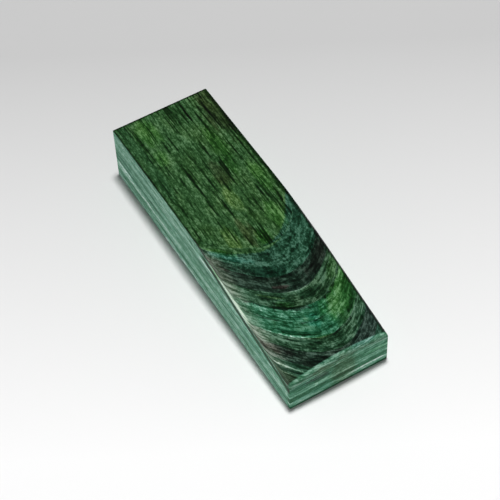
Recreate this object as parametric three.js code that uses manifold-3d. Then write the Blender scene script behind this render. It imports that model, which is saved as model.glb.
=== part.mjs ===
import * as THREE from 'three';
import * as BufferGeometryUtils from 'three/addons/utils/BufferGeometryUtils.js';
import Module from 'manifold-3d';

// Pakka wood block: dyed hardwood veneers, pressed and glued flat on each other.
// The near end is worked down to a crowned ramp, so each ply comes out there as a curved band.
// Millimetres, +Z up. X runs across the block and Y along it, with the worked end at -Y.
// The origin is the middle of the underside.

// Block
const LENGTH = 125;
const WIDTH = 40;

// Worked end: the ramp leaves the flat top on the centre line and bends down to its full slope
const RAMP_START = -1.4;
const RAMP_BLEND = 36;
const RAMP_SLOPE = 0.189;

// Crown of the ramp: how far a ply line runs back at the sides, per square millimetre of offset
const CROWN = 0.0375;

// Sideways lean of the ramp, which sinks a little more towards -X below the lean's start
const LEAN = 0.19;
const LEAN_START = 5;
const LEAN_BLEND = 20;

// Rounded rims of the ramp, along both sides and along the end
const SIDE_RIM = 1.3;
const END_RIM = 1.5;

// Dyes: colour and roughness of each
const DYES = {
  moss: { colour: 0x30522e, roughness: 0.42 },
  forest: { colour: 0x2e503b, roughness: 0.42 },
  deep_teal: { colour: 0x244c38, roughness: 0.4 },
  bright_teal: { colour: 0x366e55, roughness: 0.42 },
  pale_teal: { colour: 0x6e9680, roughness: 0.45 },
  black: { colour: 0x203229, roughness: 0.38 },
};

// Plies from the top down: dye and pressed thickness. The top one is planed thin.
const PLIES = [
  ['moss', 0.4],
  ['deep_teal', 1.35],
  ['black', 1.1],
  ['forest', 1.25],
  ['bright_teal', 1.1],
  ['bright_teal', 1.3],
  ['forest', 1.1],
  ['black', 1.35],
  ['pale_teal', 1.2],
  ['forest', 1.25],
  ['black', 1.25],
  ['pale_teal', 1.2],
  ['deep_teal', 1.25],
  ['bright_teal', 1.25],
  ['black', 1.25],
  ['pale_teal', 1.25],
  ['forest', 1.2],
  ['deep_teal', 1.25],
  ['bright_teal', 1.25],
  ['pale_teal', 1.2],
  ['black', 1.25],
];

// Fineness of the ramp's faces
const CROWN_COLUMNS = 12;
const RAMP_ROWS = 22;
const RIM_STEPS = 4;

// How far the stock that is worked away reaches past the block
const OVERCUT = 2;

const THICKNESS = PLIES.reduce((sum, [, thickness]) => sum + thickness, 0);
const HALF_WIDTH = WIDTH / 2;
const NEAR_END = -LENGTH / 2;
const RAMP_BACK = RAMP_START + CROWN * HALF_WIDTH ** 2;

const wasm = await Module();
wasm.setup();

function smooth(t) {
  const u = THREE.MathUtils.clamp(t, 0, 1);
  return u * u * (3 - 2 * u);
}

// Drop of a quarter-round rim of the given size, at a distance in from its edge
function rimDrop(size, distance) {
  const u = THREE.MathUtils.clamp(1 - distance / size, 0, 1);
  return size * (1 - Math.sqrt(1 - u * u));
}

// Height of the worked surface over a point of the block's plan
function workedHeight(x, y) {
  const worked = smooth((LEAN_START - y) / LEAN_BLEND);
  const along = y - CROWN * x * x + LEAN * x * worked;
  const run = Math.max(RAMP_START - along, 0);
  const bend = Math.min(run, RAMP_BLEND);
  const fall = RAMP_SLOPE * (bend * bend / (2 * RAMP_BLEND) + run - bend);
  const side = worked * rimDrop(SIDE_RIM, HALF_WIDTH - Math.abs(x));
  const end = rimDrop(END_RIM, y - NEAR_END);
  return THICKNESS - fall - Math.hypot(side, end);
}

// Distances in from an edge at which a quarter-round rim is divided, from the edge inwards
function rimDistances(size) {
  return Array.from({ length: RIM_STEPS }, (_, i) => {
    const angle = (Math.PI / 2) * (i / RIM_STEPS);
    return size * (1 - Math.cos(angle));
  });
}

function evenly(from, to, steps) {
  return Array.from({ length: steps + 1 }, (_, i) => from + (to - from) * (i / steps));
}

function solidFrom(geometry) {
  const bare = geometry.clone();
  bare.deleteAttribute('normal');
  bare.deleteAttribute('uv');
  const merged = BufferGeometryUtils.mergeVertices(bare, 1e-4);
  const vertProperties = new Float32Array(merged.attributes.position.array);
  const triVerts = new Uint32Array(merged.index.array);
  return new wasm.Manifold(new wasm.Mesh({ numProp: 3, vertProperties, triVerts }));
}

function geometryFrom(solid) {
  const { vertProperties, triVerts } = solid.getMesh();
  const geometry = new THREE.BufferGeometry();
  geometry.setAttribute('position', new THREE.BufferAttribute(vertProperties, 3));
  geometry.setIndex(new THREE.BufferAttribute(triVerts, 1));
  geometry.computeVertexNormals();
  return geometry;
}

// The stock above the worked surface, as one closed solid that reaches past the block
function workedStock() {
  const rimX = rimDistances(SIDE_RIM).map((d) => HALF_WIDTH - d);
  const crownX = HALF_WIDTH - SIDE_RIM;
  const columns = [
    -HALF_WIDTH - OVERCUT,
    ...rimX.map((x) => -x),
    ...evenly(-crownX, crownX, CROWN_COLUMNS),
    ...rimX.reverse(),
    HALF_WIDTH + OVERCUT,
  ];
  const rows = [
    NEAR_END - OVERCUT,
    ...rimDistances(END_RIM).map((d) => NEAR_END + d),
    ...evenly(NEAR_END + END_RIM, RAMP_BACK, RAMP_ROWS),
  ];
  const stock = new THREE.BoxGeometry(1, 1, 1, columns.length - 1, rows.length - 1, 1);
  const position = stock.attributes.position;
  for (let i = 0; i < position.count; i += 1) {
    const column = Math.round((position.getX(i) + 0.5) * (columns.length - 1));
    const row = Math.round((position.getY(i) + 0.5) * (rows.length - 1));
    const x = columns[column];
    const y = rows[row];
    const onSurface = position.getZ(i) < 0;
    const inX = THREE.MathUtils.clamp(x, -HALF_WIDTH, HALF_WIDTH);
    const inY = Math.max(y, NEAR_END);
    position.setXYZ(i, x, y, onSurface ? workedHeight(inX, inY) : THICKNESS + OVERCUT);
  }
  return solidFrom(stock);
}

function plyGeometry(thickness, bottom, stock, lowest) {
  const sheet = new THREE.BoxGeometry(WIDTH, LENGTH, thickness);
  sheet.translate(0, 0, bottom + thickness / 2);
  const worked = bottom + thickness > lowest;
  const geometry = worked ? geometryFrom(solidFrom(sheet).subtract(stock)) : sheet;
  geometry.translate(0, 0, -bottom);
  return geometry;
}

function buildBlock() {
  const block = new THREE.Group();
  const stock = workedStock();
  const lowest = workedHeight(-HALF_WIDTH, NEAR_END);
  let top = THICKNESS;
  PLIES.forEach(([dye, thickness], i) => {
    const bottom = top - thickness;
    const { colour, roughness } = DYES[dye];
    const material = new THREE.MeshStandardMaterial({ color: colour, roughness, metalness: 0 });
    const ply = new THREE.Mesh(plyGeometry(thickness, bottom, stock, lowest), material);
    ply.name = `ply_${String(i + 1).padStart(2, '0')}_${dye}`;
    ply.position.z = bottom;
    block.add(ply);
    top = bottom;
  });
  return block;
}

export default buildBlock();
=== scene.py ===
"""Pakka wood block: dyed veneers pressed flat on each other, one end worked down to a crowned ramp.

Each veneer is a piece of its own. One Geometry Nodes tree shapes the whole block and cuts one ply
out of it, and every ply has a material of its own, made from shared shader groups.
Metres, +Z up. X runs across the block and Y along it, with the worked end at -Y.
"""

import math
from typing import NamedTuple

import bpy
from bpy.props import FloatProperty, FloatVectorProperty, PointerProperty
from mathutils import Matrix, Vector


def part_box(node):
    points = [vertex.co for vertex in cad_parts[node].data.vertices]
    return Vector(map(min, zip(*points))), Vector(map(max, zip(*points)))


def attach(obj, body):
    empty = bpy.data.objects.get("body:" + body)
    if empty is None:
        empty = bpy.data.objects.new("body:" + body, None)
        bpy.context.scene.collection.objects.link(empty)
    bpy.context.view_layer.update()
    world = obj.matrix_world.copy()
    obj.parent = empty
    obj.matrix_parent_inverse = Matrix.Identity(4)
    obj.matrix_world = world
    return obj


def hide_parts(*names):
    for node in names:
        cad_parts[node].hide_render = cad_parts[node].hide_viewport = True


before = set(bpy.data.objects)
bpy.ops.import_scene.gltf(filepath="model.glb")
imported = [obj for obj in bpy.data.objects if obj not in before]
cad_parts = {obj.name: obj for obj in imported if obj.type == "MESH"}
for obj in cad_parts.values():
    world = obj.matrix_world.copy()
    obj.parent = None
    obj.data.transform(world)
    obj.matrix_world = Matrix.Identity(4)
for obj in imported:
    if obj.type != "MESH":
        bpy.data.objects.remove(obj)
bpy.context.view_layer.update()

bl_info = {
    "name": "Pakka Wood Block",
    "version": (1, 0, 0),
    "blender": (4, 5, 0),
    "location": "View3D > Sidebar > Pakka Wood",
    "description": "Builds a block of dyed, pressed veneers with one worked end",
    "category": "Add Mesh",
}

BODY = "root"
MM = 0.001
DEPTH_ATTRIBUTE = "depth_under_worked_face"

# The box of all that was loaded, and the sizes that the CAD plies give
PLIES = sorted(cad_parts)
PLY_LOWS, PLY_HIGHS = zip(*(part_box(node) for node in PLIES))
CAD_SIZE = Vector(map(max, *PLY_HIGHS)) - Vector(map(min, *PLY_LOWS))


class Number:
    """One number in a node tree. Plain operators add Math nodes, so that a formula reads as one.

    The other side of an operator may be a number of the tree, a socket or a plain value.
    """

    def __init__(self, tree, socket):
        self.tree = tree
        self.socket = socket

    def math(self, operation, *others):
        node = self.tree.nodes.new("ShaderNodeMath")
        node.operation = operation
        for socket, value in zip(node.inputs, (self, *others)):
            feed(self.tree, value, socket)
        return Number(self.tree, node.outputs[0])

    def __add__(self, other):
        return self.math("ADD", other)

    def __radd__(self, other):
        return self.math("ADD", other)

    def __sub__(self, other):
        return self.math("SUBTRACT", other)

    def __rsub__(self, other):
        return (self * -1.0) + other

    def __mul__(self, other):
        return self.math("MULTIPLY", other)

    def __rmul__(self, other):
        return self.math("MULTIPLY", other)

    def __truediv__(self, other):
        return self.math("DIVIDE", other)

    def __neg__(self):
        return self * -1.0

    def __abs__(self):
        return self.math("ABSOLUTE")

    def at_least(self, other):
        return self.math("MAXIMUM", other)

    def at_most(self, other):
        return self.math("MINIMUM", other)

    def root(self):
        return self.math("SQRT")

    def clamp(self):
        return self.at_least(0.0).at_most(1.0)

    def smooth(self, low, high):
        """0 below low, 1 above high, and a smooth step between them."""
        node = self.tree.nodes.new("ShaderNodeMapRange")
        node.interpolation_type = "SMOOTHSTEP"
        feed(self.tree, self, node.inputs["Value"])
        feed(self.tree, low, node.inputs["From Min"])
        feed(self.tree, high, node.inputs["From Max"])
        return Number(self.tree, node.outputs["Result"])


def feed(tree, value, socket):
    """Links a number or a socket to an input, or sets the input to a plain value."""
    if isinstance(value, Number):
        tree.links.new(value.socket, socket)
    elif isinstance(value, bpy.types.NodeSocket):
        tree.links.new(value, socket)
    else:
        socket.default_value = value


# Types of the sockets that most trees have
FLOAT = "NodeSocketFloat"
COLOUR = "NodeSocketColor"
VECTOR = "NodeSocketVector"


def new_tree(name, kind, inputs, outputs):
    """An empty node group with named sockets, each (name, socket type, default or None)."""
    tree = bpy.data.node_groups.new(name, kind)
    for direction, sockets in (("INPUT", inputs), ("OUTPUT", outputs)):
        for label, socket_type, default in sockets:
            socket = tree.interface.new_socket(label, in_out=direction, socket_type=socket_type)
            if default is not None:
                socket.default_value = default
    source = tree.nodes.new("NodeGroupInput")
    sink = tree.nodes.new("NodeGroupOutput")
    return tree, source.outputs, sink.inputs


def separate(tree, vector):
    """The three numbers of a vector socket."""
    node = tree.nodes.new("ShaderNodeSeparateXYZ")
    tree.links.new(vector, node.inputs[0])
    return [Number(tree, socket) for socket in node.outputs]


def combine(tree, x, y, z):
    node = tree.nodes.new("ShaderNodeCombineXYZ")
    for value, socket in zip((x, y, z), node.inputs):
        feed(tree, value, socket)
    return node.outputs[0]


def stretched(tree, x, y, z, cell):
    """A vector whose unit is one cell of the given size along each axis."""
    return combine(tree, x / cell[0], y / cell[1], z / cell[2])


def noise(tree, vector, detail=2.0, roughness=0.5):
    node = tree.nodes.new("ShaderNodeTexNoise")
    tree.links.new(vector, node.inputs["Vector"])
    node.inputs["Scale"].default_value = 1.0
    node.inputs["Detail"].default_value = detail
    node.inputs["Roughness"].default_value = roughness
    return Number(tree, node.outputs[0])


def grain(tree, place, cell, roughness=0.5, detail=2.0):
    """Noise round zero at a place, in cells of the given size along each axis."""
    return noise(tree, stretched(tree, *place, cell), detail, roughness) - 0.5


def cells(tree, vector):
    """Distance to the nearest of scattered points, and a random number for that point."""
    node = tree.nodes.new("ShaderNodeTexVoronoi")
    node.inputs["Scale"].default_value = 1.0
    tree.links.new(vector, node.inputs["Vector"])
    split = tree.nodes.new("ShaderNodeSeparateColor")
    tree.links.new(node.outputs["Color"], split.inputs[0])
    return Number(tree, node.outputs["Distance"]), Number(tree, split.outputs[0])


def mix_colour(tree, share, first, second, blend="MIX"):
    node = tree.nodes.new("ShaderNodeMix")
    node.data_type = "RGBA"
    node.blend_type = blend
    feed(tree, share, node.inputs[0])
    feed(tree, first, node.inputs[6])
    feed(tree, second, node.inputs[7])
    return node.outputs[2]


# The shape of the plies

SHAPE_SIZES = ("Width", "Length", "Thickness", "Ply Bottom", "Ply Top", "Ramp Start", "Ramp Blend",
               "Ramp Slope", "Crown", "Lean", "Lean Start", "Lean Blend", "Side Rim", "End Rim",
               "Edge Break", "Corner Radius", "Hand Wave")
GRID_COLUMNS = 84
GRID_ROWS = 168
RIM_STEPS = 10
CROWDED_RIM = 1.6 * MM
HAND_WAVE_CELL = (9 * MM, 12 * MM, 1.0)
SHARP_ANGLE = math.radians(40)
SLAB_EXCESS = 1.5
PLY_OVERLAP = 1 * MM


def rim_drop(size, distance):
    """Drop of a quarter-round rim of the given size, at a distance in from its edge."""
    u = (1.0 - distance / size).clamp()
    return size * (1.0 - (1.0 - u * u).root())


def spread(unit, half, steps):
    """Places evenly numbered grid lines so that they crowd towards both edges."""
    index = (0.5 - abs(unit)) * float(steps)
    turn = index.at_most(float(RIM_STEPS)) * (math.pi / 2 / RIM_STEPS)
    inside = (index - float(RIM_STEPS)).at_least(0.0) * ((half - CROWDED_RIM) / (steps / 2 - RIM_STEPS))
    distance = CROWDED_RIM * (1.0 - turn.math("COSINE")) + inside
    return unit.math("SIGN") * (half - distance), distance


def worked_height(tree, value, x, y):
    """Height of the worked surface before its rims are rounded, and how much of the lean is in."""
    worked = ((value["Lean Start"] - y) / value["Lean Blend"]).smooth(0.0, 1.0)
    along = y - value["Crown"] * x * x + value["Lean"] * x * worked
    run = (value["Ramp Start"] - along).at_least(0.0)
    bend = run.at_most(value["Ramp Blend"])
    fall = value["Ramp Slope"] * (bend * bend / (value["Ramp Blend"] * 2.0) + run - bend)
    wave = grain(tree, (x, y, 0.0), HAND_WAVE_CELL, 0.6)
    fall = fall + value["Hand Wave"] * wave * (run / value["Ramp Blend"]).clamp()
    return value["Thickness"] - fall, worked


def upper_and_lower(tree, value, x, y, from_side, from_end):
    """Heights of the block's two surfaces, with the ramp's rims and the broken sawn edges."""
    crest, worked = worked_height(tree, value, x, y)
    near = (-y).smooth(0.0, 1.0 * MM)
    broken_side = rim_drop(value["Edge Break"], from_side)
    broken_end = rim_drop(value["Edge Break"], from_end)
    side = worked * rim_drop(value["Side Rim"], from_side) + (1.0 - worked) * broken_side
    end = near * rim_drop(value["End Rim"], from_end) + (1.0 - near) * broken_end
    upper = crest - (side * side + end * end).root()
    lower = (broken_side * broken_side + broken_end * broken_end).root()
    return upper, lower


def rounded_corners(value, x, y, half_width, half_length):
    """The same place, drawn in where it lies past the rounding of an upright corner."""
    past_x = (abs(x) - half_width + value["Corner Radius"]).at_least(0.0)
    past_y = (abs(y) - half_length + value["Corner Radius"]).at_least(0.0)
    squeeze = past_x.at_least(past_y) / (past_x * past_x + past_y * past_y).root() - 1.0
    return x + x.math("SIGN") * past_x * squeeze, y + y.math("SIGN") * past_y * squeeze


def worked_block(tree, value):
    """The whole block: a finely divided box, moved to its worked surface, rims and corners."""
    grid = tree.nodes.new("GeometryNodeMeshCube")
    grid.inputs["Size"].default_value = (1.0, 1.0, 1.0)
    grid.inputs["Vertices X"].default_value = GRID_COLUMNS + 1
    grid.inputs["Vertices Y"].default_value = GRID_ROWS + 1
    unit_x, unit_y, unit_z = separate(tree, tree.nodes.new("GeometryNodeInputPosition").outputs[0])
    half_width = value["Width"] * 0.5
    half_length = value["Length"] * 0.5
    x, from_side = spread(unit_x, half_width, GRID_COLUMNS)
    y, from_end = spread(unit_y, half_length, GRID_ROWS)
    upper, lower = upper_and_lower(tree, value, x, y, from_side, from_end)
    z = lower + unit_z.math("GREATER_THAN", 0.0) * (upper - lower)
    round_x, round_y = rounded_corners(value, x, y, half_width, half_length)
    placed = tree.nodes.new("GeometryNodeSetPosition")
    feed(tree, grid.outputs["Mesh"], placed.inputs["Geometry"])
    feed(tree, combine(tree, round_x, round_y, z), placed.inputs["Position"])
    return placed.outputs["Geometry"]


def ply_slab(tree, value):
    """A slab between the ply's two levels, wider and longer than the block."""
    height = value["Ply Top"] - value["Ply Bottom"]
    middle = (value["Ply Top"] + value["Ply Bottom"]) * 0.5
    slab = tree.nodes.new("GeometryNodeMeshCube")
    size = combine(tree, value["Width"] * SLAB_EXCESS, value["Length"] * SLAB_EXCESS, height)
    feed(tree, size, slab.inputs["Size"])
    lifted = tree.nodes.new("GeometryNodeTransform")
    feed(tree, slab.outputs["Mesh"], lifted.inputs["Geometry"])
    feed(tree, combine(tree, 0.0, 0.0, middle), lifted.inputs["Translation"])
    return lifted.outputs["Geometry"]


def shared_part(tree, first, second):
    """What two closed meshes have in common."""
    cut = tree.nodes.new("GeometryNodeMeshBoolean")
    cut.operation = "INTERSECT"
    cut.solver = "MANIFOLD"
    feed(tree, first, cut.inputs["Mesh 2"])
    feed(tree, second, cut.inputs["Mesh 2"])
    return cut.outputs["Mesh"]


def with_depth(tree, value, geometry):
    """Stores how far each point lies under the worked surface, in millimetres, for the materials."""
    x, y, z = separate(tree, tree.nodes.new("GeometryNodeInputPosition").outputs[0])
    crest, _ = worked_height(tree, value, x, y)
    depth = tree.nodes.new("GeometryNodeStoreNamedAttribute")
    depth.data_type = "FLOAT"
    depth.inputs["Name"].default_value = DEPTH_ATTRIBUTE
    feed(tree, geometry, depth.inputs["Geometry"])
    feed(tree, (crest - z) / MM, depth.inputs["Value"])
    return depth.outputs["Geometry"]


def with_sharp_edges(tree, geometry):
    """Smooth shading, apart from the edges that turn past the sharp angle."""
    smooth = tree.nodes.new("GeometryNodeSetShadeSmooth")
    feed(tree, geometry, smooth.inputs["Geometry"])
    turn = Number(tree, tree.nodes.new("GeometryNodeInputMeshEdgeAngle").outputs["Unsigned Angle"])
    sharp = tree.nodes.new("GeometryNodeSetShadeSmooth")
    sharp.domain = "EDGE"
    sharp.inputs["Shade Smooth"].default_value = False
    feed(tree, smooth.outputs["Geometry"], sharp.inputs["Geometry"])
    feed(tree, turn.math("GREATER_THAN", SHARP_ANGLE), sharp.inputs["Selection"])
    return sharp.outputs["Geometry"]


def ply_tree(settings):
    """Shapes the worked block and cuts the ply between two levels out of it."""
    inputs = [(name, FLOAT, settings.size_of(name)) for name in SHAPE_SIZES]
    inputs.append(("Material", "NodeSocketMaterial", None))
    outputs = [("Geometry", "NodeSocketGeometry", None)]
    tree, given, result = new_tree("Pressed Ply", "GeometryNodeTree", inputs, outputs)
    value = {name: Number(tree, given[name]) for name in SHAPE_SIZES}
    ply = shared_part(tree, worked_block(tree, value), ply_slab(tree, value))
    ply = with_sharp_edges(tree, with_depth(tree, value, ply))
    realized = tree.nodes.new("GeometryNodeRealizeInstances")
    feed(tree, ply, realized.inputs["Geometry"])
    painted = tree.nodes.new("GeometryNodeSetMaterial")
    feed(tree, realized.outputs["Geometry"], painted.inputs["Geometry"])
    feed(tree, given["Material"], painted.inputs["Material"])
    feed(tree, painted.outputs["Geometry"], result["Geometry"])


def inputs_of(tree):
    return {item.name: item.identifier for item in tree.interface.items_tree if item.in_out == "INPUT"}


def grown_mesh(piece, tree, values):
    """Runs the tree on the piece with these inputs, and leaves the result as its plain mesh."""
    modifier = piece.modifiers.new("Shape", "NODES")
    modifier.node_group = tree
    names = inputs_of(tree)
    for name, value in values.items():
        modifier[names[name]] = value
    depsgraph = bpy.context.evaluated_depsgraph_get()
    evaluated = piece.evaluated_get(depsgraph)
    mesh = bpy.data.meshes.new_from_object(evaluated, preserve_all_data_layers=True, depsgraph=depsgraph)
    piece.modifiers.remove(modifier)
    blank = piece.data
    piece.data = mesh
    bpy.data.meshes.remove(blank)
    mesh.name = piece.name
    if not mesh.polygons:
        raise RuntimeError(f"{piece.name} came out empty")


# The finish of the plies. Lengths in these groups are millimetres.

PALEST_GRAIN = 0.35
THINNEST_DYE = 0.45
THINNEST_SAWN = 0.42
SAWN_SHARE = 0.8
GRAIN_STRENGTH = 0.25
GRAIN_DEPTH = 0.03 * MM
DENSEST_DYE = 2.2


def millimetres(tree, vector):
    """The object coordinates of the surface, as three numbers in millimetres."""
    node = tree.nodes.new("ShaderNodeVectorMath")
    node.operation = "SCALE"
    feed(tree, vector, node.inputs[0])
    node.inputs["Scale"].default_value = 1.0 / MM
    return separate(tree, node.outputs[0])


def open_pores(tree, x, y, z):
    """Dark pores along the grain. Long pores and grooves crowd in alleys, fine ones lie everywhere."""
    alley = noise(tree, stretched(tree, x, y, z, (5, 30, 3)), 1.0).smooth(0.35, 0.6)
    bent = x + grain(tree, (x, y, z), (4, 15, 4)) * 1.2
    near, chance = cells(tree, stretched(tree, bent, y, z, (1.3, 20, 1.2)))
    long_pore = (1.0 - near.smooth(0.16, 0.36)) * chance.smooth(0.1, 0.4) * (0.3 + alley * 0.7)
    near, chance = cells(tree, stretched(tree, bent, y, z, (0.75, 8, 0.5)))
    fine_pore = (1.0 - near.smooth(0.14, 0.36)) * chance.smooth(0.4, 0.6) * 0.6
    groove = noise(tree, stretched(tree, bent, y, z, (0.9, 34, 1.2)), 1.0).smooth(0.56, 0.68)
    return long_pore.at_least(fine_pore).at_least(groove * alley * 0.8)


def veneer_group():
    """Dyed veneer: two dyes in patches, and how densely the stripes, rings and pores hold them."""
    inputs = [
        ("Vector", VECTOR, None),
        ("Seed", FLOAT, 0.0),
        ("Dye", COLOUR, None),
        ("Second Dye", COLOUR, None),
        ("Second Amount", FLOAT, 0.5),
        ("Second Side", FLOAT, 0.0),
        ("Tone", FLOAT, 0.0),
        ("Stripes", FLOAT, 0.5),
        ("Rings", FLOAT, 1.0),
        ("Fibres", FLOAT, 0.5),
        ("Specks", FLOAT, 1.0),
        ("Pores", FLOAT, 0.3),
    ]
    outputs = [("Color", COLOUR, None), ("Density", FLOAT, None), ("Relief", FLOAT, None)]
    tree, given, result = new_tree("Dyed Veneer", "ShaderNodeTree", inputs, outputs)
    across, along, up = millimetres(tree, given["Vector"])
    seed = Number(tree, given["Seed"])
    place = across + seed * 37.0, along + seed * 91.0, up + seed * 53.0

    patch = grain(tree, place, (6, 14, 3))
    side = across * given["Second Side"] * 0.05
    share = (patch * 2.5 + side).smooth(-0.3, 0.6) * given["Second Amount"]
    feed(tree, mix_colour(tree, share, given["Dye"], given["Second Dye"]), result["Color"])

    stripe = grain(tree, place, (2.2, 36, 1.2), 0.6)
    row = grain(tree, place, (5, 24, 0.22), 0.75)
    ring = grain(tree, place, (10, 30, 0.42), 0.7)
    fibre = grain(tree, place, (1.0, 6, 0.6), 0.85)
    speck = grain(tree, place, (1.0, 1.9, 0.3), 0.9)
    pale = stripe * 0.9 * given["Stripes"] + patch * 0.35
    pale = pale + (ring * 1.4 + row * 2.9) * given["Rings"]
    pale = pale + fibre * 1.7 * given["Fibres"] + speck * 1.8 * given["Specks"]
    pores = open_pores(tree, *place) * given["Pores"]
    density = 1.0 + Number(tree, given["Tone"]) - pale.at_most(PALEST_GRAIN) + pores
    feed(tree, density.at_least(THINNEST_DYE).at_most(DENSEST_DYE), result["Density"])
    feed(tree, fibre * 0.6 + speck * 0.4 - pores, result["Relief"])


def patch_group():
    """A soft patch of the figure, of another tint or density than the veneer round it."""
    inputs = [
        ("Vector", VECTOR, None),
        ("Color", COLOUR, None),
        ("Density", FLOAT, 1.0),
        ("Tint", COLOUR, None),
        ("Darker", FLOAT, 0.0),
        ("Center", VECTOR, (0.0, 0.0, 0.0)),
        ("Radius", VECTOR, (4.0, 10.0, 1.0)),
    ]
    outputs = [("Color", COLOUR, None), ("Density", FLOAT, None)]
    tree, given, result = new_tree("Figure Patch", "ShaderNodeTree", inputs, outputs)
    place = millimetres(tree, given["Vector"])
    center = separate(tree, given["Center"])
    radius = separate(tree, given["Radius"])
    far = grain(tree, place, (1.6, 9, 0.6)) * 2.4
    for here, middle, reach in zip(place, center, radius):
        step = (here - middle) / reach
        far = far + step * step
    share = 1.0 - far.smooth(0.2, 1.3)
    tinted = mix_colour(tree, share, given["Color"], given["Tint"], "MULTIPLY")
    feed(tree, tinted, result["Color"])
    feed(tree, share * given["Darker"] + given["Density"], result["Density"])


def bleed_group():
    """Dye of the next ply that reaches past the level where they meet."""
    inputs = [
        ("Vector", VECTOR, None),
        ("Color", COLOUR, None),
        ("Next Dye", COLOUR, None),
        ("Level", FLOAT, 0.0),
        ("Reach", FLOAT, 0.1),
        ("Side", FLOAT, 0.0),
    ]
    outputs = [("Color", COLOUR, None)]
    tree, given, result = new_tree("Dye Bleed", "ShaderNodeTree", inputs, outputs)
    x, y, z = millimetres(tree, given["Vector"])
    level = Number(tree, given["Level"])
    reach = (1.0 + x * given["Side"] * 0.1).at_least(0.0) * given["Reach"]
    past = abs(level - z) - reach - grain(tree, (x, y, level), (1.2, 3, 0.3), 0.7) * 0.1
    bled = mix_colour(tree, 1.0 - past.smooth(-0.03, 0.03), given["Color"], given["Next Dye"])
    feed(tree, bled, result["Color"])


def glue_line_group():
    """A ragged line or stain at a level where two plies meet."""
    inputs = [
        ("Vector", VECTOR, None),
        ("Color", COLOUR, None),
        ("Line Color", COLOUR, None),
        ("Level", FLOAT, 0.0),
        ("Line Width", FLOAT, 0.1),
        ("Amount", FLOAT, 1.0),
        ("Side", FLOAT, 0.0),
    ]
    outputs = [("Color", COLOUR, None)]
    tree, given, result = new_tree("Glue Line", "ShaderNodeTree", inputs, outputs)
    x, y, z = millimetres(tree, given["Vector"])
    level = Number(tree, given["Level"])
    wander = grain(tree, (x, y, level), (6, 10, 0.23), detail=1.0) * 0.3
    ragged = noise(tree, stretched(tree, x, y, level, (1.1, 1.6, 0.31)), 2.0, 0.7)
    width = (ragged * 3.2 - 0.6).at_least(0.05) * given["Line Width"]
    line = 1.0 - abs(level + wander - z).smooth(width * 0.4, width * 1.1)
    broken = noise(tree, stretched(tree, x, y, level, (5, 9, 0.17)), 1.0).smooth(0.3, 0.5)
    reach = (1.0 + x * given["Side"] * 0.1).clamp()
    share = line * broken * reach * given["Amount"]
    feed(tree, mix_colour(tree, share, given["Color"], given["Line Color"]), result["Color"])


def at_face(distance):
    """1 on the face that this is the distance from, and 0 a little way in."""
    return 1.0 - distance.smooth(0.03, 0.15)


def dry_density(tree, given, place, streak, end, under):
    """How dark the sawn faces are: streaks and threads, boards underneath, and a seam at each level."""
    thread = grain(tree, place, (2.2, 3.2, 1.1), 0.85)
    cloud = grain(tree, place, (4, 9, 2), 0.7)
    board = grain(tree, place, (1.1, 26, 3), 0.75, 3.0)
    rough = streak * 2.5 + thread * 2.0
    rough = rough + under * (board * 1.5 - rough)
    side_density = Number(tree, given["Side Density"])
    face = side_density + end * (Number(tree, given["End Density"]) - side_density)
    face = face - rough - cloud * 0.4 + (Number(tree, given["Density"]) - 1.0) * 0.5
    z = place[2]
    into_ply = (z - given["Ply Bottom"]).at_most(Number(tree, given["Ply Top"]) - z)
    seam = 1.0 - (into_ply + thread * 0.1).smooth(0.03, 0.12)
    return face + seam * given["Seam"]


def rim_highlight(y, depth, from_left, wisp):
    """Painted highlight: the pale strip along the left rim of the ramp, which widens towards the end."""
    widening = (1.0 - y.smooth(-34.0, -14.0)) * 0.6 + 0.35
    rim = (1.0 - depth.smooth(1.1, 1.35)) * (1.0 - from_left.smooth(widening * 0.4, widening))
    return rim * (1.0 - y.smooth(-13.0, -7.0)) * y.smooth(-38.0, -31.0) * (1.0 + wisp * 1.2).clamp()


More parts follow.
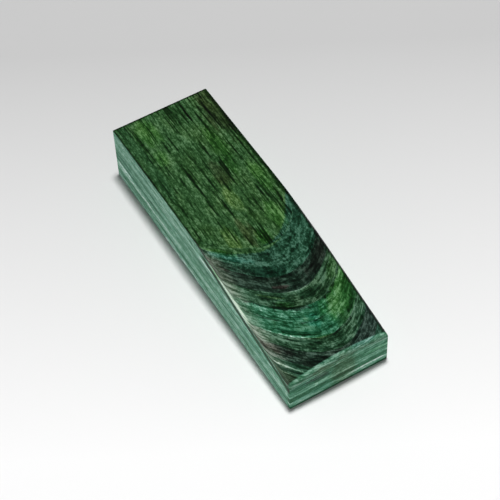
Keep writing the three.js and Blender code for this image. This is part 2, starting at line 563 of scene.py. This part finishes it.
def faces_group():
    """What the tools left, with painted light: pale dry sawn faces that also carry a painted reflection, a
    painted sheen on the left flank and the end rim, a painted highlight along the left rim with painted
    shade under it, and dark upper edges.
    """
    inputs = [
        ("Vector", VECTOR, None),
        ("Depth", FLOAT, 0.0),
        ("Color", COLOUR, None),
        ("Density", FLOAT, 1.0),
        ("Sawn And Sheen Color", COLOUR, None),
        ("Sheen Color", COLOUR, None),
        ("Rim Highlight Color", COLOUR, None),
        ("Sawn Amount", FLOAT, 0.85),
        ("Side Density", FLOAT, 1.0),
        ("End Density", FLOAT, 1.0),
        ("Flank Sheen", FLOAT, 0.3),
        ("Rim Highlight Strength", FLOAT, 0.5),
        ("Ply Bottom", FLOAT, 0.0),
        ("Ply Top", FLOAT, 1.25),
        ("Seam", FLOAT, 0.5),
        ("Half Width", FLOAT, CAD_SIZE.x / 2 / MM),
        ("Half Length", FLOAT, CAD_SIZE.y / 2 / MM),
        ("Oiled Roughness", FLOAT, 0.34),
        ("Sawn Roughness", FLOAT, 0.6),
    ]
    outputs = [("Color", COLOUR, None), ("Density", FLOAT, None), ("Roughness", FLOAT, None)]
    tree, given, result = new_tree("Worked Faces", "ShaderNodeTree", inputs, outputs)
    place = x, y, z = millimetres(tree, given["Vector"])
    depth = Number(tree, given["Depth"])
    half_width = Number(tree, given["Half Width"])
    half_length = Number(tree, given["Half Length"])
    from_right = half_width - x
    from_left = half_width + x
    from_far = half_length - y
    from_near = half_length + y
    from_end = from_near.at_most(from_far)
    under = at_face(z)
    near_rim = 1.0 - from_near.smooth(1.0, 1.7)
    sawn = at_face(from_right.at_most(from_left).at_most(from_end)).at_least(under).at_least(near_rim)
    ramp = 1.0 - y.smooth(-8.0, -2.0)
    on_ramp = ramp * (1.0 - sawn)
    streak = grain(tree, place, (12, 24, 0.9), 0.8, 3.0)
    wisp = grain(tree, place, (2.5, 8, 0.4), 0.7)

    # Painted sheen: a grey-olive reflection over the ramp's left flank
    sheen = (1.0 - from_left.smooth(0.5, 5.5)) * (0.7 + wisp * 1.5) * on_ramp
    colour = mix_colour(tree, sheen.clamp() * 0.6, given["Color"], given["Sheen Color"])
    # Painted highlight along the ramp's left rim
    rim = rim_highlight(y, depth, from_left, wisp)
    colour = mix_colour(tree, rim, colour, given["Rim Highlight Color"])
    # Painted sheen on the rounded end rim: paler and greyer
    end_rim_sheen = near_rim * (1.0 - depth.smooth(1.7, 2.8))
    # The sawn faces' pale colour is partly the ply ends' own and partly a painted reflection of the pale
    # floor
    dry = mix_colour(tree, end_rim_sheen * 0.4, given["Sawn And Sheen Color"], given["Sheen Color"])
    colour = mix_colour(tree, sawn * given["Sawn Amount"], colour, dry)
    feed(tree, colour, result["Color"])

    face = dry_density(tree, given, place, streak, at_face(from_end).at_least(near_rim), under)
    # The end rim's painted sheen also thins the dye there
    face = (face - end_rim_sheen * 0.2).at_least(THINNEST_SAWN + end_rim_sheen * 0.2)
    density = Number(tree, given["Density"])
    density = density + sawn * (face - density)
    # The flank's painted sheen and the rim's painted highlight thin the dye
    flank = (1.0 - from_left.smooth(-1.5, 10.0)) * on_ramp * y.smooth(-66.0, -50.0)
    flank_sheen = flank * (1.0 + wisp * 1.1) * given["Flank Sheen"]
    density = density * (1.0 - flank_sheen.clamp()) * (1.0 - rim * given["Rim Highlight Strength"])
    right = 1.0 - from_right.smooth(0.7, 1.8)
    left = (1.0 - from_left.smooth(0.3, 0.9)) * (1.0 - ramp)
    far = 1.0 - from_far.smooth(0.4, 0.9)
    edges = right.at_least(left).at_least(far) * (1.0 - sawn)
    # Painted shade: a dark line on the left wall just under the ramp's rim
    under_rim_shade = depth.smooth(1.15, 1.3) * (1.0 - depth.smooth(2.8, 4.2)) * at_face(from_left) * ramp
    feed(tree, density + edges * 0.75 + under_rim_shade * 1.9, result["Density"])

    oiled = Number(tree, given["Oiled Roughness"])
    roughness = oiled + sawn * (Number(tree, given["Sawn Roughness"]) - oiled)
    feed(tree, roughness + streak * 0.12, result["Roughness"])


class Look(NamedTuple):
    """How one ply looks. Its dark line has a width in millimetres, a strength and a side it keeps to."""

    second: float = 0.3
    second_side: float = 0.0
    tone: float = 0.0
    stripes: float = 0.4
    rings: float = 1.0
    fibres: float = 0.3
    specks: float = 1.0
    pores: float = 0.2
    side: float = 1.0
    end: float = 1.0
    dark_line: tuple = (0.0, 0.0, 0.0)


PLY_LOOKS = {
    1: Look(0.5, 0.2, 0.02, stripes=0.45, rings=0.15, fibres=0.8, specks=1.05, pores=1.0, side=1.1),
    2: Look(tone=0.03, rings=0.7, specks=1.25, side=0.85),
    3: Look(0.3, 0.3, 0.06, rings=0.75, specks=0.8, side=0.65),
    4: Look(0.6, 0.5, 0.02),
    5: Look(0.8, 0.9, -0.03, rings=0.9, fibres=0.4, side=0.92, dark_line=(0.26, 0.95, 0.0)),
    6: Look(0.7, 0.9, 0.03, rings=0.8, fibres=0.35, specks=0.9, side=0.75, dark_line=(0.16, 0.7, -0.5)),
    7: Look(0.2, 0.6, -0.08, fibres=0.5, specks=0.8, side=0.85, dark_line=(0.12, 0.9, -0.3)),
    8: Look(0.3, 0.5, -0.04, end=1.15),
    9: Look(0.3, 0.5, 0.3, rings=0.85, side=0.95, end=1.05),
    10: Look(tone=0.36, side=0.8, end=1.25),
    11: Look(side=0.92, end=1.15),
    12: Look(side=1.1, end=1.35),
    13: Look(end=1.6),
    14: Look(side=0.87, end=1.5),
    15: Look(side=0.6, end=1.25),
    16: Look(side=0.65, end=0.95),
    17: Look(end=1.85),
    18: Look(side=1.2, end=1.6),
    19: Look(side=0.93, end=0.7),
    # Plies 20 and 21 are paler on their sawn sides: painted light that lifts the contact shadow at the foot
    # of the block
    20: Look(side=0.7),
    21: Look(side=0.78, end=2.0),
}

# Dye that crosses a glue line: whose it is, from which level, its reach in millimetres and its side.
BLEEDS = {1: ("deep_teal", "Ply Bottom", 0.02, 5.0), 2: ("moss", "Ply Top", 0.1, -1.3)}

# How much denser the dye lies in each kind of patch.
PATCH_DENSITY = {"leaf": -0.03, "straw": -0.1, "shade": 0.4, "umber": 0.12, "ink": 0.65, "lit": -0.28,
                 "pale": -0.5, "mint": -0.38, "sea": -0.1, "rust": 0.05, "mist": 0.08, "olive": 0.12}

# Patches of a wall are centred half a millimetre outside it.
FLAT_TOP = CAD_SIZE.z / MM
NEAR_END = -CAD_SIZE.y / 2 / MM - 0.5
LEFT_SIDE = -CAD_SIZE.x / 2 / MM - 0.5


class Patch(NamedTuple):
    """A soft patch of the figure: first and last ply, centre and radius in millimetres, and kind."""

    first: int
    last: int
    center: tuple
    radius: tuple
    kind: str


def top_patch(x, y, across, along, kind):
    """A patch on the flat moss top."""
    return Patch(1, 1, (x, y, FLAT_TOP), (across, along, 9.0), kind)


def ramp_patch(first, last, x, z, across, height, kind, y=-30.0, along=90.0):
    """A patch on the ramp, long enough to follow the level of its ply round the crown."""
    return Patch(first, last, (x, y, z), (across, along, height), kind)


def end_patch(first, last, x, z, across, height, kind, along=3.0):
    """A patch on the near end."""
    return Patch(first, last, (x, NEAR_END, z), (across, along, height), kind)


def side_patch(first, last, y, z, along, height, kind, x=LEFT_SIDE):
    """A patch on the left side."""
    return Patch(first, last, (x, y, z), (3.0, along, height), kind)


FIGURE = (
    top_patch(-17.2, 44.0, 2.8, 26.0, "mist"),
    top_patch(16.5, 50.0, 4.5, 15.0, "umber"),
    top_patch(-9.5, 54.0, 4.5, 8.0, "leaf"),
    top_patch(-11.5, 41.0, 2.8, 4.5, "leaf"),
    top_patch(9.5, 33.0, 3.2, 13.0, "leaf"),
    top_patch(15.5, 14.0, 2.8, 9.0, "leaf"),
    top_patch(1.0, 10.0, 2.6, 6.0, "straw"),
    top_patch(-8.5, -5.0, 2.4, 8.0, "straw"),
    top_patch(10.5, -4.0, 3.5, 7.0, "leaf"),
    top_patch(2.0, -10.0, 3.2, 4.0, "leaf"),
    top_patch(3.3, 24.0, 3.2, 7.0, "umber"),
    top_patch(-2.5, -5.0, 2.8, 7.0, "umber"),
    top_patch(6.0, 23.0, 0.4, 11.0, "ink"),
    top_patch(7.4, 56.0, 0.4, 5.0, "ink"),
    top_patch(4.4, 36.0, 0.5, 5.0, "ink"),
    top_patch(2.4, 17.0, 0.4, 4.0, "ink"),
    top_patch(1.0, 28.0, 0.45, 5.0, "ink"),
    top_patch(11.5, 9.0, 0.5, 5.0, "ink"),
    top_patch(-6.7, 26.0, 0.4, 14.0, "ink"),
    top_patch(-4.3, 43.0, 0.45, 5.0, "ink"),
    top_patch(-7.2, 44.0, 0.45, 5.0, "ink"),
    top_patch(-13.8, 46.0, 0.4, 17.0, "ink"),
    top_patch(-16.6, 17.0, 0.5, 6.0, "ink"),
    top_patch(15.0, 48.0, 0.4, 10.0, "ink"),
    top_patch(12.6, 52.0, 0.35, 9.0, "ink"),
    top_patch(10.4, 47.0, 0.35, 9.0, "ink"),
    top_patch(13.6, 33.0, 0.35, 8.0, "ink"),
    ramp_patch(2, 2, -13.0, 24.1, 6.5, 0.2, "sea"),
    ramp_patch(2, 2, -14.5, 24.3, 5.5, 0.14, "leaf", y=-10.0, along=30.0),
    ramp_patch(2, 3, -16.0, 23.45, 6.5, 0.4, "umber", y=-20.0, along=30.0),
    ramp_patch(2, 2, -4.0, 23.5, 6.0, 0.3, "shade"),
    ramp_patch(2, 2, 16.0, 23.32, 6.0, 0.12, "shade"),
    ramp_patch(3, 3, 13.0, 22.6, 8.0, 0.5, "umber"),
    ramp_patch(3, 3, -3.5, 22.55, 3.0, 0.15, "rust"),
    ramp_patch(3, 4, 0.7, 22.17, 5.0, 0.1, "lit"),
    ramp_patch(4, 4, -9.0, 21.75, 5.0, 0.1, "straw"),
    ramp_patch(4, 4, -6.0, 21.2, 3.0, 0.3, "leaf"),
    ramp_patch(4, 4, 4.0, 21.6, 5.0, 0.3, "shade"),
    ramp_patch(4, 4, 16.0, 21.3, 5.0, 0.5, "leaf"),
    ramp_patch(4, 5, -6.0, 20.94, 5.5, 0.1, "ink", y=-40.0, along=40.0),
    ramp_patch(5, 5, -3.0, 20.15, 6.0, 0.08, "shade"),
    ramp_patch(5, 5, -10.0, 20.4, 8.5, 0.35, "lit"),
    ramp_patch(5, 6, -0.7, 19.8, 3.0, 0.6, "sea"),
    ramp_patch(5, 6, 13.0, 19.9, 11.0, 1.2, "leaf"),
    ramp_patch(5, 6, 17.0, 19.7, 5.5, 0.5, "shade"),
    ramp_patch(6, 6, -6.5, 18.93, 8.5, 0.18, "shade"),
    ramp_patch(6, 6, 15.0, 18.9, 8.0, 0.4, "shade"),
    ramp_patch(6, 6, -7.0, 18.75, 7.5, 0.08, "ink", y=-40.0, along=40.0),
    ramp_patch(6, 7, -10.5, 18.56, 4.5, 0.08, "pale", y=-40.0, along=40.0),
    ramp_patch(6, 7, -1.0, 18.48, 5.5, 0.09, "straw", y=-40.0, along=40.0),
    ramp_patch(7, 7, -7.0, 18.2, 7.0, 0.08, "shade"),
    ramp_patch(7, 7, -7.0, 17.65, 7.0, 0.08, "shade"),
    ramp_patch(7, 9, 13.0, 16.7, 9.0, 1.2, "mist"),
    ramp_patch(8, 8, -16.5, 16.9, 4.0, 0.5, "umber"),
    ramp_patch(8, 8, -6.5, 16.6, 4.0, 0.3, "shade"),
    ramp_patch(9, 9, -17.0, 15.5, 6.5, 0.12, "pale", y=-50.0, along=15.0),
    ramp_patch(9, 9, -16.0, 15.2, 6.5, 0.12, "shade", y=-50.0, along=15.0),
    ramp_patch(9, 10, -16.0, 14.8, 6.5, 0.1, "pale", y=-50.0, along=15.0),
    end_patch(8, 21, 1.8, 7.5, 5.8, 10.0, "olive", along=3.5),
    end_patch(8, 12, -6.5, 13.8, 5.0, 2.0, "olive"),
    end_patch(10, 13, -8.5, 10.9, 5.5, 1.6, "umber", along=3.5),
    end_patch(10, 14, -14.0, 10.8, 7.0, 1.4, "shade"),
    end_patch(12, 14, -6.5, 9.9, 4.0, 1.1, "shade"),
    end_patch(13, 14, 16.5, 9.7, 6.5, 0.9, "pale"),
    end_patch(15, 16, -6.5, 7.7, 4.5, 0.8, "pale"),
    end_patch(18, 19, -9.0, 3.4, 12.0, 0.8, "shade"),
    end_patch(18, 20, 12.5, 3.4, 8.0, 0.9, "lit"),
    end_patch(19, 21, -14.0, 1.8, 8.0, 0.8, "lit"),
    side_patch(3, 5, 38.0, 21.0, 9.0, 0.8, "shade"),
    # Painted shade on the left wall under the ramp's left rim
    side_patch(3, 5, -9.0, 21.4, 7.0, 0.9, "ink"),
    side_patch(4, 7, -7.0, 18.9, 9.0, 1.4, "mint"),
    side_patch(7, 9, 36.0, 15.9, 10.0, 0.8, "shade"),
    side_patch(7, 9, -7.0, 16.1, 9.0, 0.8, "shade"),
    side_patch(7, 11, -22.0, 15.0, 10.0, 1.8, "mint"),
    side_patch(9, 11, 56.0, 13.2, 8.0, 1.4, "shade"),
    side_patch(9, 11, 22.0, 14.5, 9.0, 1.2, "mint"),
    side_patch(9, 12, -38.0, 13.2, 11.0, 2.0, "mint"),
    side_patch(10, 13, -54.0, 11.7, 9.0, 1.3, "mint"),
    side_patch(11, 13, 44.0, 10.9, 24.0, 1.2, "shade"),
    side_patch(13, 15, 54.0, 9.0, 9.0, 1.0, "mint"),
    side_patch(13, 15, -28.0, 8.8, 24.0, 1.0, "shade"),
    side_patch(13, 16, -38.0, 8.2, 9.0, 1.1, "shade"),
    side_patch(14, 16, 36.0, 7.6, 26.0, 0.9, "lit"),
    side_patch(17, 18, 6.0, 4.8, 10.0, 0.9, "shade", x=LEFT_SIDE - 1.5),
    side_patch(17, 19, -54.0, 3.7, 9.0, 0.9, "shade"),
    # Paler at the foot of the left wall: painted light that lifts the contact shadow there
    side_patch(18, 21, 12.0, 1.7, 20.0, 1.9, "mint"),
)


def group_node(tree, group, values):
    node = tree.nodes.new("ShaderNodeGroup")
    node.node_tree = group
    for name, value in values.items():
        feed(tree, value, node.inputs[name])
    return node


def figured(tree, number, coordinates, colour, density, dyes, group):
    """Lays the patches that this ply shows over its colour and its density."""
    for spot in FIGURE:
        if spot.first <= number <= spot.last:
            patch = group_node(tree, group, {
                "Vector": coordinates,
                "Color": colour,
                "Density": density,
                "Tint": dyes.rgba(f"{spot.kind}_tint"),
                "Darker": PATCH_DENSITY[spot.kind],
                "Center": spot.center,
                "Radius": spot.radius,
            })
            colour = patch.outputs["Color"]
            density = patch.outputs["Density"]
    return colour, density


def ply_material(name, number, dye, levels, dyes, groups):
    """The finish of one ply. Its dye, at the density that the faces and the figure leave, is its colour."""
    material = bpy.data.materials.new(name)
    material.use_nodes = True
    tree = material.node_tree
    coordinates = tree.nodes.new("ShaderNodeTexCoord").outputs["Object"]
    look = PLY_LOOKS[number]
    veneer = group_node(tree, groups["veneer"], {
        "Vector": coordinates,
        "Seed": float(number),
        "Dye": dyes.rgba(dye),
        "Second Dye": dyes.rgba(f"{dye}_second"),
        "Second Amount": look.second,
        "Second Side": look.second_side,
        "Tone": look.tone,
        "Stripes": look.stripes,
        "Rings": look.rings,
        "Fibres": look.fibres,
        "Specks": look.specks,
        "Pores": look.pores * dyes.pore_amount,
    })
    colour = veneer.outputs["Color"]
    if number in BLEEDS:
        next_dye, level, reach, side = BLEEDS[number]
        colour = group_node(tree, groups["bleed"], {
            "Vector": coordinates,
            "Color": colour,
            "Next Dye": dyes.rgba(next_dye),
            "Level": levels[level],
            "Reach": reach,
            "Side": side,
        }).outputs["Color"]
    width, amount, side = look.dark_line
    if width:
        colour = group_node(tree, groups["line"], {
            "Vector": coordinates,
            "Color": colour,
            "Line Color": dyes.rgba("dark_line"),
            "Level": levels["Ply Top"],
            "Line Width": width,
            "Amount": amount,
            "Side": side,
        }).outputs["Color"]
    depth = tree.nodes.new("ShaderNodeAttribute")
    depth.attribute_name = DEPTH_ATTRIBUTE
    faces = group_node(tree, groups["faces"], {
        "Vector": coordinates,
        "Depth": depth.outputs["Fac"],
        "Color": colour,
        "Density": veneer.outputs["Density"],
        "Sawn And Sheen Color": dyes.rgba("sawn"),
        "Sheen Color": dyes.rgba("sheen"),
        "Rim Highlight Color": dyes.rgba("rim"),
        "Sawn Amount": SAWN_SHARE * dyes.sawn_amount,
        "Side Density": look.side,
        "End Density": look.end,
        **levels,
    })
    colour, density = faces.outputs["Color"], faces.outputs["Density"]
    colour, density = figured(tree, number, coordinates, colour, density, dyes, groups["patch"])
    dyed = tree.nodes.new("ShaderNodeGamma")
    feed(tree, colour, dyed.inputs["Color"])
    feed(tree, density, dyed.inputs["Gamma"])
    bump = tree.nodes.new("ShaderNodeBump")
    bump.inputs["Strength"].default_value = GRAIN_STRENGTH
    bump.inputs["Distance"].default_value = GRAIN_DEPTH
    feed(tree, veneer.outputs["Relief"], bump.inputs["Height"])
    shader = tree.nodes["Principled BSDF"]
    feed(tree, dyed.outputs["Color"], shader.inputs["Base Color"])
    feed(tree, faces.outputs["Roughness"], shader.inputs["Roughness"])
    feed(tree, bump.outputs["Normal"], shader.inputs["Normal"])
    shader.inputs["IOR"].default_value = 1.5
    shader.inputs["Specular IOR Level"].default_value = 0.2
    return material


def length_property(name, description, default):
    return FloatProperty(
        name=name, description=description, default=default, subtype="DISTANCE", unit="LENGTH", precision=4
    )


def share_property(name, description):
    return FloatProperty(name=name, description=description, default=1.0, min=0.0, max=1.0, subtype="FACTOR")


def colour_property(name, description, default):
    return FloatVectorProperty(
        name=name, description=description, default=default, subtype="COLOR", size=3, min=0.0, max=2.0
    )


class PakkaShape(bpy.types.PropertyGroup):
    """Sizes of the block and of its worked end."""

    width: length_property("Width", "Across the block", CAD_SIZE.x)
    length: length_property("Length", "Along the block", CAD_SIZE.y)
    thickness: length_property("Thickness", "All the plies together", CAD_SIZE.z)
    ramp_start: length_property("Ramp Start", "Where the ramp leaves the top, on the centre line", -1.4 * MM)
    ramp_blend: length_property("Ramp Blend", "Length over which the ramp bends to its full slope", 36 * MM)
    ramp_slope: FloatProperty(name="Ramp Slope", description="Fall for each metre of run", default=0.189)
    crown: FloatProperty(name="Crown", description="Run back of ply lines over offset squared", default=37.5)
    lean: FloatProperty(name="Lean", description="Sideways lean of the ramp", default=0.19)
    lean_start: length_property("Lean Start", "Where the lean begins", 5 * MM)
    lean_blend: length_property("Lean Blend", "Length over which the lean grows", 20 * MM)
    side_rim: length_property("Side Rim", "Rounding of the ramp's long rims", 1.3 * MM)
    end_rim: length_property("End Rim", "Rounding of the ramp's end rim", 1.5 * MM)
    edge_break: length_property("Edge Break", "Rounding of the sawn edges", 0.25 * MM)
    corner_radius: length_property("Corner Radius", "Rounding of the upright corners", 0.4 * MM)
    hand_wave: length_property("Hand Wave", "Unevenness that the sanding left on the ramp", 0.3 * MM)

    def size_of(self, name):
        """The value of a ply tree's input, where it is the same for every ply."""
        return getattr(self, name.lower().replace(" ", "_"), 0.0)


class PakkaDyes(bpy.types.PropertyGroup):
    """Colours of the veneers, and how strongly their pores and sawn faces show."""

    moss: colour_property("Moss", "Moss green dye", (0.026, 0.078, 0.025))
    moss_second: colour_property("Moss Patches", "Yellow-green patches", (0.034, 0.084, 0.020))
    forest: colour_property("Forest", "Dark green dye", (0.018, 0.058, 0.028))
    forest_second: colour_property("Forest Patches", "Olive patches", (0.026, 0.062, 0.026))
    deep_teal: colour_property("Deep Teal", "Deep teal dye", (0.016, 0.062, 0.034))
    deep_teal_second: colour_property("Deep Teal Patches", "Dark patches", (0.014, 0.040, 0.027))
    bright_teal: colour_property("Bright Teal", "Bright teal dye", (0.022, 0.112, 0.056))
    bright_teal_second: colour_property("Bright Teal Patches", "Leaf green patches", (0.036, 0.098, 0.032))
    pale_teal: colour_property("Pale Teal", "Pale teal dye", (0.036, 0.100, 0.060))
    pale_teal_second: colour_property("Pale Teal Patches", "Grey-green patches", (0.050, 0.100, 0.065))
    black: colour_property("Black", "Near-black dye", (0.010, 0.026, 0.016))
    black_second: colour_property("Black Patches", "Brown-black patches", (0.016, 0.023, 0.015))
    dark_line: colour_property("Dark Line", "Dark resin between plies", (0.003, 0.012, 0.006))
    # Pale sawn faces: partly how the ply ends take the dye, partly a painted reflection of the pale floor
    sawn: colour_property("Sawn", "Pale dry sawn faces", (0.143, 0.393, 0.256))
    # Colour of the painted sheen on the ramp's left flank and on its end rim
    sheen: colour_property("Worn", "Worn veneer along the left side of the ramp", (0.085, 0.115, 0.075))
    # Colour of the painted highlight along the ramp's left rim
    rim: colour_property("Rim", "The worn left rim of the ramp", (0.290, 0.520, 0.300))
    leaf_tint: colour_property("Leaf Tint", "Brighter green patches", (1.00, 1.18, 0.80))
    straw_tint: colour_property("Straw Tint", "Yellow patches", (1.40, 1.18, 0.85))
    shade_tint: colour_property("Shade Tint", "Dark patches", (0.90, 0.95, 1.00))
    umber_tint: colour_property("Umber Tint", "Brown patches", (1.20, 0.82, 0.92))
    olive_tint: colour_property("Olive Tint", "Olive patches", (0.98, 0.80, 0.72))
    mist_tint: colour_property("Mist Tint", "Blue-grey patches", (1.15, 1.15, 1.35))
    ink_tint: colour_property("Ink Tint", "Long dark streaks", (0.80, 0.90, 0.80))
    lit_tint: colour_property("Lit Tint", "Paler stripes", (1.00, 1.00, 1.00))
    pale_tint: colour_property("Pale Tint", "Thin pale strands", (1.05, 1.10, 1.00))
    mint_tint: colour_property("Mint Tint", "Clear pale strands of the side", (0.84, 1.06, 1.02))
    sea_tint: colour_property("Sea Tint", "Clear teal patches", (0.60, 1.00, 1.05))
    rust_tint: colour_property("Rust Tint", "Faint red-brown patches", (1.80, 0.75, 0.95))
    pore_amount: share_property("Pore Amount", "How strongly the pores show")
    sawn_amount: share_property("Sawn Amount", "How fully the sawn faces take their own colour")

    def rgba(self, name):
        return (*getattr(self, name), 1.0)


def press_ply(node, groups, tree):
    """Makes the visible piece of one ply, which stands for its CAD node."""
    _, number, dye = node.split("_", 2)
    low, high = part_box(node)
    levels = {"Ply Bottom": low.z / MM, "Ply Top": high.z / MM}
    material = ply_material(node, int(number), dye, levels, bpy.context.scene.pakka_dyes, groups)
    piece = bpy.data.objects.new(f"veneer_{number}_{dye}", bpy.data.meshes.new("blank"))
    bpy.context.scene.collection.objects.link(piece)
    bottom = low.z if low.z > MM / 2 else -PLY_OVERLAP
    is_top = high.z > bpy.context.scene.pakka_shape.thickness - MM / 10
    top = high.z + PLY_OVERLAP if is_top else high.z
    grown_mesh(piece, tree, {"Ply Bottom": bottom, "Ply Top": top, "Material": material})
    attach(piece, BODY)
    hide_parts(node)


def shared_tools():
    """The shader groups and the ply tree, made once."""
    groups = bpy.data.node_groups
    if "Pressed Ply" not in groups:
        veneer_group()
        patch_group()
        bleed_group()
        glue_line_group()
        faces_group()
        ply_tree(bpy.context.scene.pakka_shape)
    finish = {"veneer": groups["Dyed Veneer"], "patch": groups["Figure Patch"],
              "bleed": groups["Dye Bleed"], "line": groups["Glue Line"], "faces": groups["Worked Faces"]}
    return finish, groups["Pressed Ply"]


def ramp_reaches(node):
    """Whether the ramp cuts this ply: then its solid has more than a box's eight corners."""
    corners = {tuple(round(c, 6) for c in v.co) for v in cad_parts[node].data.vertices}
    return len(corners) > 8


class PAKKA_OT_worked_plies(bpy.types.Operator):
    """Press the upper plies, which the ramp cuts through"""

    bl_idname = "pakka.worked_plies"
    bl_label = "Worked Plies"

    def execute(self, context):
        groups, tree = shared_tools()
        for node in PLIES:
            if ramp_reaches(node):
                press_ply(node, groups, tree)
        return {"FINISHED"}


class PAKKA_OT_whole_plies(bpy.types.Operator):
    """Press the lower plies, which run the whole length of the block"""

    bl_idname = "pakka.whole_plies"
    bl_label = "Whole Plies"

    def execute(self, context):
        groups, tree = shared_tools()
        for node in PLIES:
            if not ramp_reaches(node):
                press_ply(node, groups, tree)
        return {"FINISHED"}


# The stage

FOCAL_PIXELS = 1675.45
FRAME_PIXELS = 500
CAMERA_PLACE = Vector((-0.17661, -0.32691, 0.48922))
CAMERA_RIGHT = Vector((0.858357, -0.512175, -0.030006))
CAMERA_DOWN = Vector((-0.421777, -0.671140, -0.609652))
CAMERA_AHEAD = Vector((0.292110, 0.535955, -0.792101))
# Painted shade on the floor: light near the camera, darker towards the back
SHEET_NEAR = -0.08
SHEET_FAR = 0.11
SHEET_LIGHT = (0.86, 0.86, 0.86)
SHEET_DARK = (0.505, 0.505, 0.505)


def pale_material(name, colour, roughness):
    material = bpy.data.materials.new(name)
    material.use_nodes = True
    shader = material.node_tree.nodes["Principled BSDF"]
    shader.inputs["Base Color"].default_value = (*colour, 1.0)
    shader.inputs["Roughness"].default_value = roughness
    shader.inputs["Specular IOR Level"].default_value = 0.0
    return material


def floor_material():
    """Pale floor whose colour darkens evenly towards the back: painted shade, as light falls off along a
    studio sheet.
    """
    material = pale_material("floor", (0.8, 0.8, 0.8), 0.9)
    tree = material.node_tree
    x, y, _ = separate(tree, tree.nodes.new("ShaderNodeTexCoord").outputs["Object"])
    away = CAMERA_AHEAD.xy.normalized()
    back = x * away.x + y * away.y
    share = ((back - SHEET_NEAR) / (SHEET_FAR - SHEET_NEAR)).clamp()
    colour = mix_colour(tree, share, (*SHEET_LIGHT, 1.0), (*SHEET_DARK, 1.0))
    feed(tree, colour, tree.nodes["Principled BSDF"].inputs["Base Color"])
    return material


def make_floor():
    mesh = bpy.data.meshes.new("floor")
    reach = 3.0
    corners = [(-reach, -reach, 0), (reach, -reach, 0), (reach, reach, 0), (-reach, reach, 0)]
    mesh.from_pydata(corners, [], [(0, 1, 2, 3)])
    mesh.materials.append(floor_material())
    floor = bpy.data.objects.new("floor", mesh)
    bpy.context.scene.collection.objects.link(floor)


def make_light(name, place, size, power, shines=True, glints=True):
    """A round soft box that faces the block. It may light only diffusely, or show only as a glint."""
    light = bpy.data.lights.new(name, "AREA")
    light.shape = "DISK"
    light.size = size
    light.energy = power
    lamp = bpy.data.objects.new(name, light)
    lamp.location = place
    lamp.rotation_euler = (-Vector(place)).to_track_quat("-Z", "Y").to_euler()
    lamp.visible_diffuse = shines
    lamp.visible_glossy = glints
    bpy.context.scene.collection.objects.link(lamp)


def make_world():
    """Dim air overhead, paler towards the horizon."""
    world = bpy.data.worlds.new("world")
    world.use_nodes = True
    tree = world.node_tree
    _, _, up = separate(tree, tree.nodes.new("ShaderNodeTexCoord").outputs["Generated"])
    colour = mix_colour(tree, up.smooth(0.0, 0.6), (1.0, 1.0, 1.0, 1.0), (0.12, 0.12, 0.12, 1.0))
    feed(tree, colour, tree.nodes["Background"].inputs["Color"])
    bpy.context.scene.world = world


def make_camera():
    """The camera that the photo's edges give: a long lens, looking down on the worked end."""
    camera = bpy.data.cameras.new("camera")
    camera.sensor_fit = "HORIZONTAL"
    camera.sensor_width = 36.0
    camera.lens = FOCAL_PIXELS * camera.sensor_width / FRAME_PIXELS
    camera.clip_start = 0.01
    camera.clip_end = 20.0
    view = bpy.data.objects.new("camera", camera)
    turn = Matrix((CAMERA_RIGHT, -CAMERA_DOWN, -CAMERA_AHEAD)).transposed()
    view.matrix_world = Matrix.Translation(CAMERA_PLACE) @ turn.to_4x4()
    bpy.context.scene.collection.objects.link(view)
    bpy.context.scene.camera = view


class PAKKA_OT_stage(bpy.types.Operator):
    """Lay the floor, hang the studio lights and set the camera"""

    bl_idname = "pakka.stage"
    bl_label = "Stage"

    def execute(self, context):
        make_camera()
        make_floor()
        make_light("overhead", place=(0.095, 0.075, 1.25), size=0.20, power=15.4, glints=False)
        make_light("rim_card", place=(-0.60, 0.50, 0.62), size=0.40, power=6.0, shines=False)
        make_world()
        context.scene.view_settings.view_transform = "Standard"
        return {"FINISHED"}


class PAKKA_PT_panel(bpy.types.Panel):
    """Sizes, colours and the steps that build the block"""

    bl_label = "Pakka Wood Block"
    bl_idname = "PAKKA_PT_panel"
    bl_space_type = "VIEW_3D"
    bl_region_type = "UI"
    bl_category = "Pakka Wood"

    def draw(self, context):
        for group in (context.scene.pakka_shape, context.scene.pakka_dyes):
            box = self.layout.box()
            for name in group.__annotations__:
                box.prop(group, name)
        for operator in OPERATORS:
            self.layout.operator(operator.bl_idname)


OPERATORS = (PAKKA_OT_stage, PAKKA_OT_worked_plies, PAKKA_OT_whole_plies)
CLASSES = (PakkaShape, PakkaDyes, *OPERATORS, PAKKA_PT_panel)


def register():
    for cls in CLASSES:
        bpy.utils.register_class(cls)
    bpy.types.Scene.pakka_shape = PointerProperty(type=PakkaShape)
    bpy.types.Scene.pakka_dyes = PointerProperty(type=PakkaDyes)


def unregister():
    del bpy.types.Scene.pakka_dyes
    del bpy.types.Scene.pakka_shape
    for cls in reversed(CLASSES):
        bpy.utils.unregister_class(cls)


def main():
    register()
    bpy.ops.pakka.stage()
    bpy.ops.pakka.worked_plies()
    bpy.ops.pakka.whole_plies()


if __name__ == "__main__":
    main()
